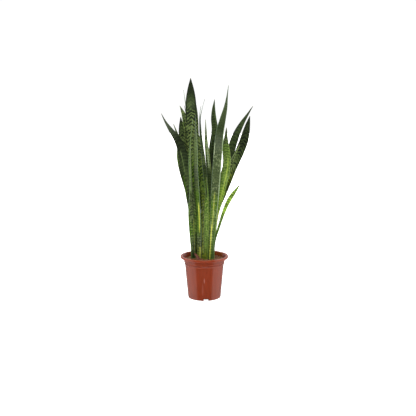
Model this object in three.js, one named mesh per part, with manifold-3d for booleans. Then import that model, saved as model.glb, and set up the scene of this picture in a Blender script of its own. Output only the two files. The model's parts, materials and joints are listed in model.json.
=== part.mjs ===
// A snake plant in its moulded nursery pot, as a three.js scene graph.
//
// Millimetres, +Z up. The origin is the centre of the pot's underside, on the floor. +X is to the right and
// -Y is towards somebody who looks at the plant from the front. The leaves stand in plain sockets in the
// potting mix, each shoot of them over its own rhizome.

import * as THREE from 'three';
import { mergeVertices } from 'three/addons/utils/BufferGeometryUtils.js';
import Module from 'manifold-3d';

const wasm = await Module();
wasm.setup();

// ---------------------------------------------------------------- driving dimensions

const POT_HEIGHT = 240;
const RIM_RADIUS = 135; // a 27 cm pot
const MOUTH_RADIUS = 121.5;
const LIP_DROP = 13; // how far the lip curls down outside
const LIP_FOOT_RADIUS = 125.5; // its edge below, where the curl ends
const LIP_TOP_RADIUS = 130.5; // the outside of its flat top
const LIP_CURL = 6; // how far its widest part is below the top
const COLLAR_RADIUS = 115.5;
const COLLAR_FOOT = 205; // height where the collar starts
const COLLAR_TOP = 221; // height where it opens out into the lip
const BEAD_HEIGHT = 195.3; // the round ridge between the collar and the tapered body
const BEAD_WIDTH = 9.6;
const BEAD_PROUD = 2;
const BODY_TOP_RADIUS = 110.5;
const FOOT_RADIUS = 93.3;
const FOOT_ROUNDING = 4;
const WALL = 2.2;
const POT_SEGMENTS = 48;
const ARC_STEPS = 3;

const NOTCH_COUNT = 4;
const NOTCH_TURN = 6; // degrees that the front notch is turned to the right
const NOTCH_WIDTH = 27;
const NOTCH_HEIGHT = 12;
const NOTCH_DEPTH = 34;
const DRAIN_RADIUS = 5;

const SOIL_TOP = 220;
const SOIL_MOUND = 4; // how much higher the mix stands round the leaves than at the wall
const SOIL_GAP = 0.4;

const LEAF_SINK = 34; // length of a leaf that is below the surface of the mix
const LEAF_SIDES = 8;
const LEAF_RINGS = 15;
const LEAF_THICK = 7;
const TIP_THICK = 1.2;
const TIP_WIDTH = 2.4;
const CHANNEL_AT_BASE = 0.24; // depth of a leaf's hollow face, as a share of its width
const CHANNEL_AT_TIP = 0.05;
const WAVE_HEIGHT = 0.03; // rise and fall of a leaf's edges, as a share of its width
const WAVE_LENGTH = 260;
const SOCKET_GAP = 0.4;
const SOCKET_SPARE = 2; // how far a socket reaches past the foot of its leaf

const SHEATH_THICK = 2;

const RHIZOME_RADIUS = 13;
const RHIZOME_DROP = 0.6; // from the feet of the leaves down to the rhizome
const RHIZOME_GAP = 0.5;

// ---------------------------------------------------------------- finishes

const finish = (color, roughness) => new THREE.MeshStandardMaterial({ color, roughness, metalness: 0 });

const FINISHES = {
  pot: finish(0x8c3c24, 0.35),
  soil: finish(0x4b3122, 0.95),
  rhizome: finish(0xb9763a, 0.7),
  sheath: finish(0x5a2c1e, 0.8),
  dark: finish(0x26381f, 0.4),
  banded: finish(0x39502a, 0.42),
  grey: finish(0x5c7450, 0.45),
  bright: finish(0x5f8a2c, 0.42),
};

// ---------------------------------------------------------------- the plant
//
// spine   points that the middle of the leaf passes through; the first is at the surface of the mix
// width   greatest width
// neck    width at the mix, as a share of the greatest
// spread  where the blade has opened to its greatest width, as a share of the length, if not half
// face    way that the hollow face looks at the base: 0 to the front, 90 to the right, 180 to the back
// twist   how far the blade turns about its own length from the base to the tip, in degrees
// turn    stretch in which it does so, as shares of the length, where that isn't the whole leaf
// taper   length of the pointed end
// point   above 1 the end is drawn out thin, below 1 it is blunt

const LEAVES = [
  // shoot at the left
  { name: 'leaf_01', finish: 'grey', width: 38, neck: 0.62, face: 184, twist: 70, turn: [0.26, 0.5],
    taper: 300, point: 1.3,
    spine: [[-62, -4, 220], [-72, -12, 415], [-75, -18, 640], [-77, -16, 830], [-62, -8, 1007]] },
  { name: 'leaf_02', finish: 'dark', width: 49, neck: 0.5, face: -8, twist: 22, taper: 270, point: 1.2,
    spine: [[-58, 20, 220], [-62, 15, 430], [-77, 11, 560], [-119, -7, 816], [-147, -22, 892],
      [-200, -46, 971], [-230, -60, 1031]] },
  { name: 'leaf_03', finish: 'bright', width: 35, neck: 0.6, face: -12, twist: 10, taper: 220, point: 1.1,
    spine: [[-55, 40, 220], [-66, 38, 430], [-84, 34, 570], [-133, 24, 765], [-141, 16, 890],
      [-169, 10, 974]] },
  { name: 'leaf_04', finish: 'banded', width: 40, neck: 0.6, face: 8, twist: -10, taper: 125, point: 0.75,
    spine: [[-56, 58, 220], [-66, 56, 450], [-92, 54, 640], [-121, 50, 886], [-131, 48, 1013]] },

  // shoot left of the middle
  { name: 'leaf_05', finish: 'banded', width: 60, neck: 0.48, face: 4, twist: -6, taper: 165, point: 0.85,
    spine: [[-30, 30, 220], [-47, 25, 552], [-64, 16, 832], [-72, 12, 1050], [-74, 10, 1222]] },
  { name: 'leaf_06', finish: 'grey', width: 30, neck: 0.9, face: 150, twist: -16, taper: 240, point: 1.4,
    spine: [[-30, -6, 220], [-33, -18, 473], [-46, -26, 697], [-47, -30, 889], [-49, -32, 1026]] },
  { name: 'leaf_07', finish: 'banded', width: 36, neck: 0.6, face: 168, twist: 18, taper: 130, point: 0.9,
    spine: [[-5, -12, 220], [-4, 5, 400], [-6, 31, 570], [-21, 38, 777], [-48, 44, 925], [-46, 48, 1086]] },
  { name: 'leaf_08', finish: 'bright', width: 40, neck: 0.6, face: -14, twist: 20, taper: 130, point: 1,
    spine: [[-42, 46, 220], [-64, 46, 606], [-89, 46, 913], [-109, 44, 1012], [-135, 40, 1074]] },
  { name: 'leaf_09', finish: 'dark', width: 26, neck: 0.75, face: 50, twist: 10, taper: 180, point: 0.9,
    spine: [[-24, 72, 220], [-66, 84, 772], [-89, 86, 968], [-112, 86, 1076]] },
  { name: 'leaf_10', finish: 'grey', width: 28, neck: 0.7, face: 40, twist: 10, taper: 340, point: 1.2,
    spine: [[-16, 54, 220], [-62, 66, 774], [-96, 70, 1023], [-115, 72, 1160]] },

  // shoot right of the middle
  { name: 'leaf_11', finish: 'grey', width: 26, neck: 0.8, face: 20, twist: 26, taper: 400, point: 1.4,
    spine: [[16, -6, 220], [20, 0, 498], [-5, 13, 777], [-19, 16, 920], [-22, 18, 1007], [3, 24, 1110]] },
  { name: 'leaf_12', finish: 'grey', width: 22, neck: 0.8, face: 60, twist: -45, taper: 420, point: 1.2,
    spine: [[4, 36, 220], [-7, 56, 690], [-23, 62, 913], [-26, 62, 1023], [-19, 62, 1070]] },
  { name: 'leaf_13', finish: 'bright', width: 30, neck: 0.8, face: 132, twist: 30, taper: 280, point: 1,
    spine: [[27, 13, 220], [36, 10, 582], [21, 5, 761], [11, 1, 871], [7, -4, 999]] },
  { name: 'leaf_14', finish: 'bright', width: 26, neck: 0.8, face: 160, twist: 8, taper: 220, point: 1.1,
    spine: [[6, -28, 220], [11, -38, 420], [12, -46, 561], [13, -54, 689]] },
  { name: 'leaf_15', finish: 'dark', width: 34, neck: 0.65, face: -6, twist: 16, taper: 200, point: 1,
    spine: [[8, 60, 220], [30, 68, 603], [39, 70, 829], [47, 70, 968]] },

  // shoot at the right
  { name: 'leaf_16', finish: 'grey', width: 47, neck: 0.58, face: 172, twist: 14, taper: 330, point: 1.3,
    spine: [[34, -26, 220], [53, -40, 505], [71, -54, 770], [87, -70, 944], [114, -86, 1065],
      [128, -100, 1177]] },
  { name: 'leaf_17', finish: 'bright', width: 43, neck: 0.46, face: 164, twist: 12, taper: 165, point: 1,
    spine: [[44, 0, 220], [46, -4, 378], [59, -10, 466], [101, -18, 641], [123, -24, 764], [117, -27, 866],
      [121, -30, 956]] },
  { name: 'leaf_18', finish: 'dark', width: 46, neck: 0.46, face: -10, twist: -10, taper: 270, point: 1.1,
    spine: [[47, 57, 220], [54, 59, 420], [74, 61, 522], [144, 66, 805], [189, 72, 937], [272, 92, 1073]] },
  { name: 'leaf_19', finish: 'banded', width: 50, neck: 0.42, face: -6, twist: -6, taper: 170, point: 0.8,
    spine: [[42, 35, 220], [49, 33, 420], [73, 31, 522], [99, 28, 588], [154, 27, 727], [215, 32, 869],
      [252, 40, 1019]] },
  { name: 'leaf_20', finish: 'bright', width: 34, neck: 0.7, face: 30, twist: -10, taper: 240, point: 1.2,
    spine: [[45, 20, 220], [69, 15, 497], [124, 7, 689], [162, 2, 794], [196, -2, 863]] },
  { name: 'leaf_21', finish: 'bright', width: 26, neck: 0.36, spread: 1, face: -40, twist: 30, taper: 110,
    point: 0.9,
    spine: [[52, -16, 220], [60, -20, 330], [79, -30, 400], [105, -42, 486], [134, -48, 557],
      [196, -58, 651]] },
  { name: 'leaf_22', finish: 'grey', width: 40, neck: 0.6, face: 156, twist: -6, taper: 150, point: 0.95,
    spine: [[34, 48, 220], [49, 49, 633], [57, 50, 885], [58, 51, 945], [50, 54, 1028], [57, 60, 1109]] },

  // shoot at the back
  { name: 'leaf_23', finish: 'banded', width: 46, neck: 0.55, face: 202, twist: 12, taper: 180, point: 0.9,
    spine: [[-28, 92, 220], [-46, 124, 560], [-62, 160, 840], [-72, 190, 1036]] },
  { name: 'leaf_24', finish: 'dark', width: 42, neck: 0.55, face: 128, twist: -14, taper: 200, point: 1,
    spine: [[26, 78, 220], [48, 106, 520], [66, 136, 760], [74, 156, 930]] },
  { name: 'leaf_25', finish: 'grey', width: 36, neck: 0.6, face: 236, twist: 16, taper: 220, point: 1.1,
    spine: [[-50, 78, 220], [-72, 92, 500], [-96, 112, 700], [-108, 130, 822]] },
  { name: 'leaf_26', finish: 'banded', width: 36, neck: 0.6, face: 118, twist: 12, taper: 220, point: 1.1,
    spine: [[42, 82, 220], [56, 108, 470], [76, 132, 640], [96, 154, 740]] },
  { name: 'leaf_27', finish: 'bright', width: 26, neck: 0.75, face: 150, twist: 10, taper: 200, point: 1.1,
    spine: [[-3, 92, 220], [-10, 104, 420], [-8, 116, 620]] },
];

const SHEATHS = [
  { name: 'sheath_1', width: 17, neck: 0.8, face: 20, twist: 10, taper: 34, point: 0.7,
    spine: [[-26, -38, 220], [-36, -40, 236], [-56, -42, 262]] },
];

// rhizomes: x, and the y of their two ends
const RHIZOMES = [
  { name: 'rhizome_1', x: -60, from: -6, to: 62 },
  { name: 'rhizome_2', x: -24, from: -10, to: 66 },
  { name: 'rhizome_3', x: 13, from: -28, to: 56 },
  { name: 'rhizome_4', x: 47, from: -30, to: 60 },
];

// ---------------------------------------------------------------- helpers

const radians = THREE.MathUtils.degToRad;
const { clamp, lerp, smoothstep } = THREE.MathUtils;

/** A closed geometry as a manifold solid. */
function solidOf(geometry) {
  const bare = geometry.clone();
  bare.deleteAttribute('normal');
  bare.deleteAttribute('uv');
  const merged = mergeVertices(bare, 1e-3);
  return new wasm.Manifold(
    new wasm.Mesh({
      numProp: 3,
      vertProperties: merged.attributes.position.array,
      triVerts: new Uint32Array(merged.index.array),
    }),
  );
}

/** A manifold solid as a geometry. */
function geometryOf(solid) {
  const mesh = solid.getMesh();
  const geometry = new THREE.BufferGeometry();
  geometry.setAttribute('position', new THREE.BufferAttribute(mesh.vertProperties, 3));
  geometry.setIndex(new THREE.BufferAttribute(mesh.triVerts, 1));
  return geometry;
}

/** A named mesh. */
function piece(name, geometry, material) {
  const mesh = new THREE.Mesh(geometry, material);
  mesh.name = name;
  return mesh;
}

/** A path of radius and height, from axis to axis, turned round the Z axis. */
function turned(path) {
  const points = path.getPoints(ARC_STEPS);
  return solidOf(new THREE.LatheGeometry(points, POT_SEGMENTS).rotateX(Math.PI / 2));
}

// ---------------------------------------------------------------- pot

/** The outside of the pot with its mouth filled: foot, tapered body, bead, collar and curled lip. */
function potOutside() {
  const lipFoot = POT_HEIGHT - LIP_DROP;
  const lipBelly = POT_HEIGHT - LIP_CURL;
  const beadTop = BEAD_HEIGHT + BEAD_WIDTH / 2;
  const line = new THREE.Path();
  line.moveTo(0, 0);
  line.lineTo(FOOT_RADIUS - FOOT_ROUNDING, 0);
  line.absarc(FOOT_RADIUS - FOOT_ROUNDING, FOOT_ROUNDING, FOOT_ROUNDING, -Math.PI / 2, 0, false);
  line.lineTo(BODY_TOP_RADIUS, BEAD_HEIGHT - BEAD_WIDTH / 2);
  line.quadraticCurveTo(BODY_TOP_RADIUS + 2 * BEAD_PROUD, BEAD_HEIGHT, BODY_TOP_RADIUS, beadTop);
  line.lineTo(COLLAR_RADIUS, COLLAR_FOOT);
  line.lineTo(COLLAR_RADIUS, COLLAR_TOP);
  line.lineTo(MOUTH_RADIUS + WALL, POT_HEIGHT - WALL);
  line.lineTo(LIP_TOP_RADIUS, POT_HEIGHT - WALL);
  line.lineTo(RIM_RADIUS - WALL, lipBelly);
  line.quadraticCurveTo(RIM_RADIUS - WALL, lipFoot + WALL, LIP_FOOT_RADIUS, lipFoot + WALL);
  line.lineTo(LIP_FOOT_RADIUS, lipFoot);
  line.quadraticCurveTo(RIM_RADIUS, lipFoot, RIM_RADIUS, lipBelly);
  line.quadraticCurveTo(RIM_RADIUS, POT_HEIGHT, LIP_TOP_RADIUS, POT_HEIGHT);
  line.lineTo(0, POT_HEIGHT);
  return turned(line);
}

/** The inside of the pot, from its floor to the given height, moved in from the wall by a gap. */
function potInside(gap, top, mound = 0) {
  const line = new THREE.Path();
  line.moveTo(0, WALL + gap);
  line.lineTo(FOOT_RADIUS - FOOT_ROUNDING - WALL, WALL + gap);
  line.lineTo(FOOT_RADIUS - WALL - gap, FOOT_ROUNDING);
  line.lineTo(BODY_TOP_RADIUS - WALL - gap, BEAD_HEIGHT + BEAD_WIDTH / 2);
  line.lineTo(COLLAR_RADIUS - WALL - gap, COLLAR_FOOT + WALL);
  line.lineTo(COLLAR_RADIUS - WALL - gap, Math.min(top, COLLAR_TOP));
  if (top > POT_HEIGHT) line.lineTo(MOUTH_RADIUS, POT_HEIGHT);
  if (top > POT_HEIGHT) line.lineTo(MOUTH_RADIUS, top);
  if (mound > 0) line.lineTo(0.62 * COLLAR_RADIUS, top + 0.8 * mound);
  line.lineTo(0, top + mound);
  return turned(line);
}

/** What a notch in the foot takes up: the opening itself, or with a margin the moulded walls round it. */
function notches(margin) {
  const size = [NOTCH_DEPTH + FOOT_RADIUS, NOTCH_WIDTH + 2 * margin, 2 * (NOTCH_HEIGHT + margin)];
  const boxes = [];
  for (let i = 0; i < NOTCH_COUNT; i += 1) {
    const box = new THREE.BoxGeometry(...size);
    box.translate(FOOT_RADIUS - NOTCH_DEPTH - margin + size[0] / 2, 0, 0);
    box.rotateZ(radians(NOTCH_TURN - 90 + (360 / NOTCH_COUNT) * i));
    boxes.push(solidOf(box));
  }
  return boxes.reduce((all, box) => all.add(box));
}

/** The holes that lead from the mix into the notches. */
function drains() {
  const holes = [];
  for (let i = 0; i < NOTCH_COUNT; i += 1) {
    const hole = new THREE.CylinderGeometry(DRAIN_RADIUS, DRAIN_RADIUS, 4 * WALL, 16).rotateX(Math.PI / 2);
    hole.translate(FOOT_RADIUS - NOTCH_DEPTH / 2, 0, NOTCH_HEIGHT + WALL / 2);
    hole.rotateZ(radians(NOTCH_TURN - 90 + (360 / NOTCH_COUNT) * i));
    holes.push(solidOf(hole));
  }
  return holes.reduce((all, hole) => all.add(hole));
}

function pot() {
  const room = potInside(0, POT_HEIGHT + 1).subtract(notches(WALL));
  return potOutside().subtract(room).subtract(notches(0)).subtract(drains());
}

// ---------------------------------------------------------------- leaves

/** The middle line of a leaf, from its foot in the mix to its tip. */
function spineOf(leaf) {
  const points = leaf.spine.map((p) => new THREE.Vector3(...p));
  const foot = points[0].clone().setZ(SOIL_TOP - LEAF_SINK);
  return new THREE.CatmullRomCurve3([foot, ...points], false, 'centripetal');
}

/** A unit cylinder with its back split into triangles as its front is, so that a waved blade can't cross. */
function unitBlade() {
  const blade = new THREE.CylinderGeometry(1, 1, 1, LEAF_SIDES, LEAF_RINGS);
  const index = blade.index.array;
  for (let quad = (LEAF_SIDES / 4) * LEAF_RINGS; quad < 0.75 * LEAF_SIDES * LEAF_RINGS; quad += 1) {
    const [a, b, d, , c] = index.slice(quad * 6, quad * 6 + 6);
    index.set([a, b, c, a, c, d], quad * 6);
  }
  blade.deleteAttribute('normal');
  blade.deleteAttribute('uv');
  return mergeVertices(blade, 1e-5);
}

/** A leaf as a closed blade with a hollow face. A socket's reaches further below and is grown all round. */
function bladeGeometry(leaf, { below = 0, grow = 0 } = {}) {
  const spine = spineOf(leaf);
  const length = spine.getLength();
  const blade = unitBlade();
  const at = blade.attributes.position;
  const point = new THREE.Vector3();
  for (let i = 0; i < at.count; i += 1) {
    const across = at.getX(i);
    const along = at.getY(i) > -0.5 ? length * (at.getY(i) + 0.5) ** 0.85 : -below;
    const share = clamp(along / length, 0, 1);
    const opening = lerp(leaf.neck, 1, smoothstep(along, LEAF_SINK, (leaf.spread ?? 0.5) * length));
    const closing = Math.sin((Math.PI / 2) * Math.min(1, (length - along) / leaf.taper)) ** leaf.point;
    const width = Math.max(TIP_WIDTH, leaf.width * opening * closing);
    const thick = lerp(leaf.thick ?? LEAF_THICK, TIP_THICK, share ** 0.7);
    const hollow = width * lerp(CHANNEL_AT_BASE, CHANNEL_AT_TIP, share);
    const swell = width * WAVE_HEIGHT * smoothstep(along, LEAF_SINK, WAVE_LENGTH);
    const wave = swell * Math.sin((2 * Math.PI * along) / WAVE_LENGTH);
    const facing = radians(leaf.face + leaf.twist * smoothstep(share, ...(leaf.turn ?? [0, 1])));
    const ahead = spine.getTangentAt(share);
    const normal = new THREE.Vector3(Math.sin(facing), -Math.cos(facing), 0);
    normal.addScaledVector(ahead, -normal.dot(ahead)).normalize();
    const side = new THREE.Vector3().crossVectors(ahead, normal);
    spine.getPointAt(share, point);
    point.addScaledVector(ahead, along - share * length);
    const reach = across * (width / 2 + grow);
    const bend = hollow * ((2 * reach / width) ** 2 - 0.5) + wave * (2 * reach / width);
    point.addScaledVector(side, reach);
    point.addScaledVector(normal, at.getZ(i) * (thick / 2 + grow) + bend);
    at.setXYZ(i, point.x, point.y, point.z);
  }
  return blade;
}

// ---------------------------------------------------------------- rhizomes

/** A rhizome under the feet of a shoot's leaves, grown by a gap where it is a hollow in the mix. */
function rhizomeGeometry({ x, from, to }, gap = 0) {
  const middle = SOIL_TOP - LEAF_SINK - RHIZOME_DROP - RHIZOME_RADIUS;
  const rhizome = new THREE.CapsuleGeometry(RHIZOME_RADIUS + gap, to - from, 4, 12);
  return rhizome.translate(x, (from + to) / 2, middle);
}

// ---------------------------------------------------------------- potting mix

/** The mix fills the pot and leaves room for the notches, the leaves and the rhizomes. */
function soil() {
  const sockets = [...LEAVES, ...SHEATHS.map((sheath) => ({ ...sheath, thick: SHEATH_THICK }))];
  let mix = potInside(SOIL_GAP, SOIL_TOP, SOIL_MOUND).subtract(notches(WALL + SOIL_GAP));
  for (const leaf of sockets) {
    mix = mix.subtract(solidOf(bladeGeometry(leaf, { below: SOCKET_SPARE, grow: SOCKET_GAP })));
  }
  for (const rhizome of RHIZOMES) mix = mix.subtract(solidOf(rhizomeGeometry(rhizome, RHIZOME_GAP)));
  return mix;
}

// ---------------------------------------------------------------- assembly

const plant = new THREE.Group();
for (const leaf of LEAVES) plant.add(piece(leaf.name, bladeGeometry(leaf), FINISHES[leaf.finish]));
for (const sheath of SHEATHS) {
  plant.add(piece(sheath.name, bladeGeometry({ ...sheath, thick: SHEATH_THICK }), FINISHES.sheath));
}
for (const rhizome of RHIZOMES) plant.add(piece(rhizome.name, rhizomeGeometry(rhizome), FINISHES.rhizome));

const pottedPlant = new THREE.Group();
pottedPlant.add(piece('pot', geometryOf(pot()), FINISHES.pot));
pottedPlant.add(piece('soil', geometryOf(soil()), FINISHES.soil));
pottedPlant.add(plant);

export default pottedPlant;
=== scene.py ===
"""A snake plant in its moulded nursery pot: the looks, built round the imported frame.

Metres, +Z up, with the pot standing on the origin and the viewer on the -Y side, as in the frame.
Every leaf is a fine blade that follows the rings of its own solid, so it stands where the frame has it.
"""

from __future__ import annotations

import json
import logging
import math
import random
from dataclasses import dataclass
from enum import Enum
from typing import NamedTuple

import bmesh
import bpy
from mathutils import Matrix, Vector, noise


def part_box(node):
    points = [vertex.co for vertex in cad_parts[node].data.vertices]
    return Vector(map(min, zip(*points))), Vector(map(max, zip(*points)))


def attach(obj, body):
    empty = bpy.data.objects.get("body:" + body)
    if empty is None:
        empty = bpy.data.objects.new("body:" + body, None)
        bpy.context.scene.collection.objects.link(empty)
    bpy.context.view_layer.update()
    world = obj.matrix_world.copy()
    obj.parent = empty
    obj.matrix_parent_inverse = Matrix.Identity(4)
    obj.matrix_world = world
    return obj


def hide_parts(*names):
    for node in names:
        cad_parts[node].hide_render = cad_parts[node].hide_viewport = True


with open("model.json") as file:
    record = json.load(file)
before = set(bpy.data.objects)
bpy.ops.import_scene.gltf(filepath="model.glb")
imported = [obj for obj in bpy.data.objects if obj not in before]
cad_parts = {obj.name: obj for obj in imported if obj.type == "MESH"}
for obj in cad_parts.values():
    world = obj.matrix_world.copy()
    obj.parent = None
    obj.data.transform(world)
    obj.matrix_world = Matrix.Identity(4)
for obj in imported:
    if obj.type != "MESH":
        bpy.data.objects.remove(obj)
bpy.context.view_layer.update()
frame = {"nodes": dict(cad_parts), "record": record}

BODY = "root"
MM = 0.001
SOFT = {"interpolation_type": "SMOOTHSTEP"}
LEAF_MARKS = ("blade", "nature", "green", "marks", "stripe")

Tree = bpy.types.NodeTree
Socket = bpy.types.NodeSocket
Piece = bpy.types.Object
Mesh = bmesh.types.BMesh
Colour = tuple[float, float, float, float]
Three = tuple[float, float, float]
Ring = list[bmesh.types.BMVert]

log = logging.getLogger("snake_plant")


# --- small tools


def srgb(code: str) -> Colour:
    """Turn an sRGB hex colour into linear red, green, blue and alpha.

    Args:
        code: six hex digits, such as "8c3720".

    Returns:
        The linear colour with an alpha of 1.
    """
    values = [int(code[i : i + 2], 16) / 255 for i in (0, 2, 4)]
    linear = [v / 12.92 if v <= 0.04045 else ((v + 0.055) / 1.055) ** 2.4 for v in values]
    return (*linear, 1.0)


def add(tree: Tree, kind: str, inputs: dict | None = None, **settings) -> bpy.types.NodeOutputs:
    """Add a shader node with its settings, constants and links.

    Args:
        tree: the node tree that gets the node.
        kind: the node's type, such as "Math".
        inputs: input name or number, to a socket that feeds it or to its constant.
        **settings: the node's own properties.

    Returns:
        The node's outputs.
    """
    node = tree.nodes.new(f"ShaderNode{kind}")
    for name, value in settings.items():
        setattr(node, name, value)
    for key, value in (inputs or {}).items():
        if isinstance(value, bpy.types.NodeSocket):
            tree.links.new(value, node.inputs[key])
        else:
            node.inputs[key].default_value = value
    return node.outputs


def smoothstep(value: float, low: float, high: float) -> float:
    """Ease a value from 0 at low to 1 at high."""
    share = min(1.0, max(0.0, (value - low) / (high - low)))
    return share * share * (3 - 2 * share)


def make_piece(name: str, bm: Mesh, sharp_degrees: float = 40.0) -> Piece:
    """Turn a bmesh into a smooth-shaded object with its normals outwards.

    Args:
        name: the piece's name.
        bm: the closed mesh, which is freed.
        sharp_degrees: edges that turn more than this stay sharp.

    Returns:
        The linked object.
    """
    bmesh.ops.recalc_face_normals(bm, faces=bm.faces)
    mesh = bpy.data.meshes.new(name)
    bm.to_mesh(mesh)
    bm.free()
    piece = bpy.data.objects.new(name, mesh)
    bpy.context.scene.collection.objects.link(piece)
    smooth(piece, sharp_degrees)
    return piece


def smooth(piece: Piece, sharp_degrees: float) -> None:
    """Shade a piece smooth, with a crease where it turns more than sharp_degrees."""
    piece.data.polygons.foreach_set("use_smooth", [True] * len(piece.data.polygons))
    piece.data.set_sharp_from_angle(angle=math.radians(sharp_degrees))


def dress(piece: Piece, material: bpy.types.Material, slot: str, *nodes: str) -> None:
    """Give a piece its material, hang it on the body and hide the CAD nodes that it stands for.

    Args:
        piece: the piece.
        material: its material.
        slot: the record's material slot; not used.
        *nodes: the CAD nodes that the piece replaces.
    """
    piece.data.materials.clear()
    piece.data.materials.append(material)
    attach(piece, BODY)
    if nodes:
        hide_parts(*nodes)


def carve(piece: Piece, tool: Piece, operation: str) -> None:
    """Apply a boolean to a piece and remove the tool.

    Args:
        piece: the piece that is changed.
        tool: the object that is cut away or joined on.
        operation: DIFFERENCE or UNION.
    """
    cut = piece.modifiers.new("cut", "BOOLEAN")
    cut.object = tool
    cut.operation = operation
    cut.solver = "EXACT"
    graph = bpy.context.evaluated_depsgraph_get()
    done = bpy.data.meshes.new_from_object(piece.evaluated_get(graph))
    piece.modifiers.clear()
    old, piece.data = piece.data, done
    bpy.data.meshes.remove(old)
    bpy.data.objects.remove(tool)


def spun(corners: list[Three], steps: int) -> Mesh:
    """Spin an outline round the Z axis.

    Args:
        corners: radius, height and rounding of each corner, from axis to axis.
        steps: number of steps round the axis.

    Returns:
        The closed surface.
    """
    bm = bmesh.new()
    line = [bm.verts.new((r, 0.0, z)) for r, z in rounded(corners)]
    edges = [bm.edges.new(pair) for pair in zip(line, line[1:])]
    bmesh.ops.spin(
        bm, geom=line + edges, cent=(0, 0, 0), axis=(0, 0, 1), dvec=(0, 0, 0),
        angle=2 * math.pi, steps=steps, use_merge=True, use_duplicate=False,
    )
    bmesh.ops.remove_doubles(bm, verts=bm.verts, dist=1e-6)
    return bm


def rounded(corners: list[Three], steps: int = 5) -> list[tuple[float, float]]:
    """Replace each corner that has a rounding by a short curve.

    Args:
        corners: radius, height and rounding of each corner.
        steps: number of pieces in each curve.

    Returns:
        Radius and height of every point.
    """
    points: list[tuple[float, float]] = []
    for i, (r, z, cut) in enumerate(corners):
        here = Vector((r, z))
        if cut == 0 or i in (0, len(corners) - 1):
            points.append((r, z))
            continue
        before = Vector(corners[i - 1][:2]) - here
        after = Vector(corners[i + 1][:2]) - here
        start = here + before.normalized() * min(cut, before.length / 2)
        end = here + after.normalized() * min(cut, after.length / 2)
        for step in range(steps + 1):
            t = step / steps
            point = start * (1 - t) ** 2 + here * 2 * t * (1 - t) + end * t**2
            points.append((point.x, point.y))
    return points


# --- finishes


@dataclass(frozen=True)
class Finish:
    """A material by its common name. Each kind of finish draws its own surface."""

    name: str

    def make(self) -> bpy.types.Material:
        """Build the material.

        Returns:
            The material, under its name.
        """
        material = bpy.data.materials.new(self.name)
        material.use_nodes = True
        tree = material.node_tree
        tree.nodes.clear()
        add(tree, "OutputMaterial", {"Surface": self.surface(tree)})
        return material

    def surface(self, tree: Tree) -> Socket:
        """Draw the surface.

        Args:
            tree: the material's nodes.

        Returns:
            The shader.
        """
        raise NotImplementedError


@dataclass(frozen=True)
class MouldedPolypropylene(Finish):
    """Terracotta-coloured polypropylene, moulded: glossy, with faint flow lines and a painted highlight."""

    name: str = "moulded_polypropylene"
    colour: str = "7f3118"
    dust: str = "a9634c"
    # The colour of the painted highlight streak on the front of the pot.
    mark: str = "b9776b"
    roughness: float = 0.15
    grain_mm: float = 0.7
    flow_mm: float = 9.0
    cloud_mm: float = 40.0
    scuff_height: float = 0.016
    # The middle, the size and the strength of the painted highlight, a pale streak on the front, and of its
    # long faint tail.
    painted_highlight: tuple[tuple[Three, Three, float], ...] = (
        ((0.0, -0.105, 0.118), (0.0048, 0.02, 0.021), 0.55),
        ((-0.009, -0.1, 0.065), (0.006, 0.02, 0.06), 0.16),
    )

    def surface(self, tree: Tree) -> Socket:
        """Draw the glossy plastic with its painted highlight, dull and dusty at the foot."""
        where = add(tree, "TexCoord")["Object"]
        height = add(tree, "SeparateXYZ", {0: where})["Z"]
        drawn = add(tree, "Mapping", {"Vector": where, "Scale": (1.0, 1.0, 0.06)})[0]
        flow, grain, cloud = (
            add(tree, "TexNoise", {"Vector": place, "Scale": 1 / (size_mm * MM), "Detail": detail})[0]
            for place, size_mm, detail in (
                (drawn, self.flow_mm, 3.0), (where, self.grain_mm, 2.0), (where, self.cloud_mm, 4.0)
            )
        )
        shade = add(tree, "MapRange", {0: flow, 1: 0.3, 2: 0.7, 3: 0.93, 4: 1.07})[0]
        colour = add(tree, "HueSaturation", {"Value": shade, "Color": srgb(self.colour)})[0]
        low = add(tree, "MapRange", {0: height, 1: 0.0, 2: self.scuff_height, 3: 0.5, 4: 0.0}, **SOFT)[0]
        worn = add(tree, "Math", {0: low, 1: cloud}, operation="MULTIPLY")[0]
        # Lay the painted highlight streak on the front, then the dust at the foot.
        for share, over in ((self.marks(tree, where), self.mark), (worn, self.dust)):
            colour = add(tree, "Mix", {"Factor": share, 6: colour, 7: srgb(over)}, data_type="RGBA")[2]
        rough = add(tree, "MapRange", {
            0: cloud, 1: 0.3, 2: 0.7, 3: self.roughness - 0.02, 4: self.roughness + 0.03,
        })[0]
        relief = add(tree, "Math", {0: grain, 1: flow}, operation="ADD")[0]
        bump = add(tree, "Bump", {"Strength": 0.03, "Distance": 0.2 * MM, "Height": relief})[0]
        return add(
            tree, "BsdfPrincipled", {"Base Color": colour, "Roughness": rough, "IOR": 1.49, "Normal": bump}
        )[0]

    def marks(self, tree: Tree, where: Socket) -> Socket:
        """Draw the painted highlight, a pale streak on the front, and its long faint tail.

        Args:
            tree: the material's nodes.
            where: the place on the pot.

        Returns:
            The share of the painted highlight's colour.
        """
        strengths = []
        for middle, size, strength in self.painted_highlight:
            off = add(tree, "VectorMath", {0: where, 1: middle}, operation="SUBTRACT")[0]
            scaled = add(tree, "VectorMath", {0: off, 1: size}, operation="DIVIDE")[0]
            reach = add(tree, "VectorMath", {0: scaled}, operation="LENGTH")["Value"]
            soft = add(tree, "MapRange", {0: reach, 1: 0.2, 2: 1.0, 3: strength, 4: 0.0}, **SOFT)[0]
            strengths.append(soft)
        return add(tree, "Math", dict(enumerate(strengths)), operation="MAXIMUM")[0]


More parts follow.
